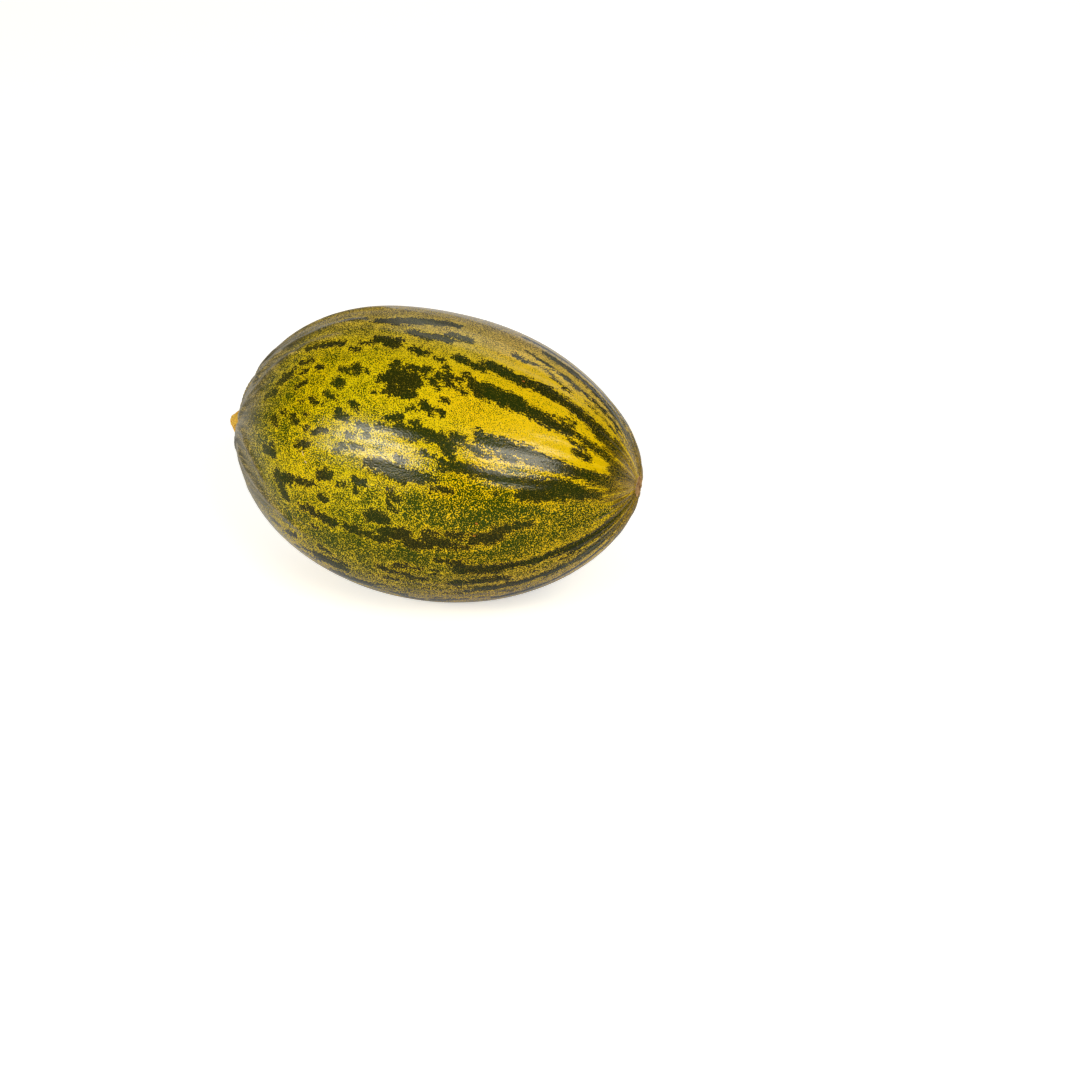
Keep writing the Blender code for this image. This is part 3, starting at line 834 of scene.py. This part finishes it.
def groundColour(tree, on, net):
    look = rindLook
    toned = remap(tree, on["tone"], *look["toneSpan"])
    goldShare = maths(tree, "MULTIPLY_ADD", toned, look["toneShare"], on["streaky"], clamp=True)
    ground = blend(tree, goldShare, look["lemon"], look["gold"])
    ochreShare = remap(tree, noise(tree, on["flow"], *look["ochreGrain"]), *look["ochreSpan"])
    ground = blend(tree, ochreShare, ground, look["ochre"])
    # tan ground and paler net along the top and bottom outline: painted rim sheen
    ground = blend(tree, times(tree, on["brown"], look["paintedSheenShare"]), ground, look["tan"])
    # towards the stem the ground and net take the bloom colour, which carries a painted grey sheen
    bloomAndSheen = blend(tree, remap(tree, on["stemGrain"], *look["bloomAndSheenSpan"]), look["bloomAndSheenDark"], look["bloomAndSheen"])
    ground = blend(tree, on["stemEnd"], ground, bloomAndSheen)
    netColour = blend(tree, on["brown"], look["netGreen"], look["netInPaintedSheen"])
    netColour = blend(tree, on["stemEnd"], netColour, look["bloomAndSheenNet"])
    return blend(tree, net, ground, netColour)


def scarMask(tree, on):                  # where the blossom dropped off
    ragged = wander(tree, on["place"], *rindLook["scarGrain"])
    place = timesPlus(tree, ragged, rindLook["scarRagged"], on["scar"])
    return remap(tree, place, -rindLook["scarEdge"], rindLook["scarEdge"])


def scarColour(tree, on):
    crack, _ = speckled(tree, stretched(tree, on["place"], rindLook["crackStretch"]), *rindLook["crack"])
    return blend(tree, crack, rindLook["scar"], rindLook["scarCrack"])


def scuffed(tree, on, colour, shift):
    for fromS, fromTurn, toS, toTurn, half, name in scuffs:
        start = skinPoint(fromS, fromTurn, shift)
        run = skinPoint(toS, toTurn, shift) - start
        values = {"Vector": on["place"], "Start": start, "Run": run, "Length": run.length, "Half": half}
        colour = blend(tree, placeGroup(tree, dash, values)["Mask"], colour, rindLook[name])
    return colour


def addGloss(tree, on, shader, scar):    # wax and relief
    look, heights = rindLook, rindLook["relief"]
    wax = noise(tree, on["place"], *look["wax"])
    rough = remap(tree, wax, *look["waxSpan"], *look["roughness"], "LINEAR")
    rough = timesPlus(tree, on["stemEnd"], look["stemRoughness"], rough)
    feed(tree, shader.inputs["Roughness"], lerp(tree, scar, rough, look["scarRoughness"]))
    shader.inputs["Specular IOR Level"].default_value = look["specular"]
    lengthwise = noise(tree, stretched(tree, on["grain"], look["lengthwiseStretch"]), *look["lengthwise"])
    height = timesPlus(tree, wax, heights["wax"], times(tree, on["netHeight"], heights["net"]))
    height = timesPlus(tree, lengthwise, heights["lengthwise"], height)
    height = timesPlus(tree, times(tree, on["stemGrain"], on["stemEnd"]), heights["stem"], height)
    addRelief(tree, shader, height, look)


def makeRind(shift):
    material, tree, shader = newMaterial("melonRind")
    on = skinFields(tree)
    depth = blotchDepth(tree, on)
    dark = remap(tree, depth, -rindLook["darkEdge"], rindLook["darkEdge"])
    # blotches paler towards the stem, under the painted sheen of the stem end
    darkShare = times(tree, dark, timesPlus(tree, on["stemEnd"], rindLook["darkAtStem"], 1.0))
    colour = groundColour(tree, on, fineNet(tree, on, depth))
    colour = blend(tree, darkShare, colour, blotchColour(tree, on, depth))
    scar = scarMask(tree, on)
    colour = blend(tree, scar, colour, scarColour(tree, on))
    feed(tree, shader.inputs["Base Color"], scuffed(tree, on, colour, shift))
    addGloss(tree, on, shader, scar)
    return material


rind, poleMiddle = makeSkin()
rind.data.materials.append(makeRind(poleMiddle))
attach(rind, "root")
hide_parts("fruit")
print("melon: skin done", len(rind.data.polygons), "faces")


# Corky stub of the stem, in millimetres

stubForm = {
    "outline": [                     # share of the radius, share of the height
        (1.00, 0.00), (0.97, 0.12), (0.89, 0.26), (0.77, 0.42),
        (0.60, 0.60), (0.44, 0.78), (0.34, 0.93), (0.20, 1.00),
    ],
    "radius": 7.5,
    "rootShare": 0.97,
    "rootDepth": 3.0,
    "height": 6.17,
    "tipHollow": 0.06,
    "tipLift": 1.2,
    "segments": 120,
    "cuts": 3,
    "smoothing": 0.6,
    "mergeDistance": 0.001,
    "ridges": (9, 0.06, 2.0),        # count, depth, twist
    "fineRidges": (31, 0.012, 3.0),
    "torn": (0.12, 5, 1),            # height, waves, start
}

corkLook = {
    "light": rgb(248, 204, 78),
    "tan": rgb(230, 172, 56),
    "brown": rgb(150, 92, 34),
    "fibreStretch": (0.25, 1.0, 1.0),
    "fibres": (1.1, 0.45, 0.12),     # size, cover, softness
    "pits": (0.6, 0.2, 0.04),
    "roughness": 0.8,
    "reliefStrength": 0.6,
    "reliefDepth": 0.0006,
}


def makeStub():
    radius, root, height = stubForm["radius"], stubForm["rootDepth"], stubForm["height"]
    outline = [(0.0, 0.0), (radius * stubForm["rootShare"], 0.0)]
    outline += [(radius * out, root + height * up) for out, up in stubForm["outline"]]
    outline.append((0.0, root + height * (1 - stubForm["tipHollow"])))
    bm = bmesh.new()
    points = [bm.verts.new((out, 0, up)) for out, up in outline]
    edges = [bm.edges.new(pair) for pair in zip(points, points[1:])]
    smoothing = stubForm["smoothing"]
    bmesh.ops.subdivide_edges(bm, edges=edges[2:-1], cuts=stubForm["cuts"], smooth=smoothing)
    bmesh.ops.spin(
        bm, geom=bm.verts[:] + bm.edges[:], cent=(0, 0, 0), axis=(0, 0, 1),
        angle=2 * math.pi, steps=stubForm["segments"], use_merge=True,
    )
    bmesh.ops.remove_doubles(bm, verts=bm.verts, dist=stubForm["mergeDistance"])
    bmesh.ops.recalc_face_normals(bm, faces=bm.faces)
    tornHeight, tornWaves, tornStart = stubForm["torn"]
    for vert in bm.verts:
        turn, share = math.atan2(vert.co.y, vert.co.x), vert.co.z / (root + height)
        swell = 1.0
        for count, depth, twist in (stubForm["ridges"], stubForm["fineRidges"]):
            swell += depth * math.cos(count * turn + twist * share)
        offAxis = min(1.0, Vector(vert.co.xy).length)
        torn = tornHeight * share**3 * math.sin(tornWaves * turn + tornStart) * offAxis
        lift = stubForm["tipLift"] * share**2
        vert.co = (vert.co.x * swell + lift, vert.co.y * swell, vert.co.z + torn)
    rootPlace = (stubHigh.x * 1000, poleMiddle.y * 1000, poleMiddle.z * 1000)
    placed = Matrix.Translation(rootPlace) @ Matrix.Rotation(-math.pi / 2, 4, "Y")
    bmesh.ops.transform(bm, matrix=Matrix.Scale(0.001, 4) @ placed, verts=bm.verts)
    mesh = meshFrom(bm, "stemStubCork")
    mesh.shade_smooth()
    return linked("stemStubCork", mesh)


def makeCork():
    material, tree, shader = newMaterial("stemCork")
    place = millimetres(tree)
    fibrePlace = stretched(tree, place, corkLook["fibreStretch"])
    streak, height = speckled(tree, fibrePlace, *corkLook["fibres"])
    pits, _ = speckled(tree, place, *corkLook["pits"])
    colour = blend(tree, streak, corkLook["light"], corkLook["tan"])
    colour = blend(tree, pits, colour, corkLook["brown"])
    feed(tree, shader.inputs["Base Color"], colour)
    shader.inputs["Roughness"].default_value = corkLook["roughness"]
    addRelief(tree, shader, height, corkLook)
    return material


stub = makeStub()
stub.data.materials.append(makeCork())
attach(stub, "root")
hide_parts("stem_stub")
print("melon: stub done")


# Camera at the photograph's angle

shot = {
    "azimuth": 18.34,
    "elevation": 30.0,
    "distance": 1.579,
    "right": 0.0535,
    "down": 0.0452,
    "lens": 100.0,
    "sensor": 36.0,
    "clip": (0.05, 200.0),
}


def makeCamera():
    azimuth, elevation = math.radians(shot["azimuth"]), math.radians(shot["elevation"])
    back = Vector((
        math.sin(azimuth) * math.cos(elevation),
        -math.cos(azimuth) * math.cos(elevation),
        math.sin(elevation),
    ))
    right = Vector((math.cos(azimuth), math.sin(azimuth), 0))
    up = back.cross(right)
    data = bpy.data.cameras.new("shotCamera")
    data.lens = shot["lens"]
    data.sensor_width = shot["sensor"]
    data.clip_start, data.clip_end = shot["clip"]
    made = linked("shotCamera", data)
    made.location = poleMiddle + back * shot["distance"] + right * shot["right"] - up * shot["down"]
    made.rotation_euler = (-back).to_track_quat("-Z", "Y").to_euler()
    scene.camera = made


# Studio: white sweep, big soft top light, softboxes at the front left, the front right and behind

studio = {
    "white": (1.0, 1.0, 1.0, 1.0),
    "worldFront": 0.0,
    "worldBehind": 0.3,
    "worldTint": (1.0, 0.96, 0.88, 1.0),
    "worldSeen": 0.82,
    "behindSpan": (0.25, 0.8),
    "skySpan": (0.1, 0.6, 1.0, 0.15),           # height from and to, strength from and to
    "top": {"strength": 0.75, "angle": 110.0, "at": (0.1, 0.1, 2.0)},
    "key": {"from": (-0.44, -0.81, 0.40), "distance": 1.35, "size": (0.66, 0.46), "power": 9.6},
    "fill": {"from": (0.59, -0.54, 0.60), "distance": 1.5, "size": (0.9, 0.6), "power": 12.1},
    "rear": {"from": (0.05, 0.80, 0.56), "distance": 1.5, "size": (1.4, 0.35), "power": 2.0},
    "boxTint": (1.0, 0.95, 0.8),
    "floorSize": 120.0,
    "floorGap": 0.0001,
    "floorSeen": (0.95, 0.936, 0.905, 1.0),
    "floorBounce": 0.85,
    "floorMirrored": 0.12,
    "floorGlow": (-0.12, 0.06, 0.0, 0.6),       # the sweep mirrored in the rind: depth, then strength
    "floorLift": 0.57,
}


def aimedAt(light, target):
    light.rotation_euler = (target - light.location).to_track_quat("-Z", "Y").to_euler()


def behindness(tree, vector):
    azimuth = math.radians(shot["azimuth"])
    away = (-math.sin(azimuth), math.cos(azimuth), 0)
    made = addNode(tree, "ShaderNodeVectorMath", {0: vector, 1: away}, operation="DOT_PRODUCT")
    return made.outputs["Value"]


def makeWorld():
    world = bpy.data.worlds.new("studioWhite")
    world.use_nodes = True
    scene.world = world
    tree = world.node_tree
    direction = addNode(tree, "ShaderNodeTexCoord").outputs["Generated"]
    glow = remap(tree, behindness(tree, direction), *studio["behindSpan"])
    height = addNode(tree, "ShaderNodeSeparateXYZ", {"Vector": direction}).outputs["Z"]
    glow = times(tree, glow, remap(tree, height, *studio["skySpan"]))
    strength = lerp(tree, glow, studio["worldFront"], studio["worldBehind"])
    seen = addNode(tree, "ShaderNodeLightPath").outputs["Is Camera Ray"]
    light = tree.nodes["Background"]
    feed(tree, light.inputs["Color"], blend(tree, seen, studio["worldTint"], studio["white"]))
    feed(tree, light.inputs["Strength"], lerp(tree, seen, strength, studio["worldSeen"]))


def makeLights():
    top = bpy.data.lights.new("topLight", "SUN")
    top.energy = studio["top"]["strength"]
    top.angle = math.radians(studio["top"]["angle"])
    topLight = linked("topLight", top)
    topLight.location = studio["top"]["at"]
    aimedAt(topLight, Vector((0, 0, 0)))
    topLight.visible_glossy = False
    for name in ("key", "fill", "rear"):
        box = studio[name]
        data = bpy.data.lights.new(name + "Softbox", "AREA")
        data.shape = "RECTANGLE"
        data.size, data.size_y = box["size"]
        data.energy = box["power"]
        data.color = studio["boxTint"]
        made = linked(name + "Softbox", data)
        made.location = poleMiddle + Vector(box["from"]).normalized() * box["distance"]
        aimedAt(made, poleMiddle)
        made.visible_camera = False


def makeSweep():
    material, tree, shader = newMaterial("whiteSweep")
    tree.nodes.remove(shader)
    rays = addNode(tree, "ShaderNodeLightPath").outputs
    seen = addNode(tree, "ShaderNodeBsdfDiffuse", {"Color": studio["floorSeen"]}).outputs[0]
    liftValues = {"Color": studio["white"], "Strength": studio["floorLift"]}
    lift = addNode(tree, "ShaderNodeEmission", liftValues).outputs[0]
    white = lerp(tree, rays["Is Glossy Ray"], studio["floorBounce"], studio["floorMirrored"])
    bounce = addNode(tree, "ShaderNodeBsdfDiffuse", {"Color": white}).outputs[0]
    depth = behindness(tree, addNode(tree, "ShaderNodeTexCoord").outputs["Object"])
    glowing = times(tree, remap(tree, depth, *studio["floorGlow"]), rays["Is Glossy Ray"])
    glowValues = {"Color": studio["white"], "Strength": glowing}
    mirrored = addNode(tree, "ShaderNodeEmission", glowValues).outputs[0]
    unseen = addNode(tree, "ShaderNodeAddShader", {0: bounce, 1: mirrored}).outputs[0]
    bright = addNode(tree, "ShaderNodeAddShader", {0: seen, 1: lift}).outputs[0]
    both = addNode(tree, "ShaderNodeMixShader", {0: rays["Is Camera Ray"], 1: unseen, 2: bright})
    feed(tree, tree.nodes["Material Output"].inputs["Surface"], both.outputs[0])
    return material


def makeFloor():
    bm = bmesh.new()
    bmesh.ops.create_grid(bm, x_segments=1, y_segments=1, size=studio["floorSize"] / 2)
    bmesh.ops.translate(bm, verts=bm.verts, vec=(0, 0, -studio["floorGap"]))
    mesh = meshFrom(bm, "studioFloor")
    mesh.materials.append(makeSweep())
    return linked("studioFloor", mesh)


makeCamera()
makeWorld()
makeLights()
floor = makeFloor()
print("melon: camera, lights and floor done")
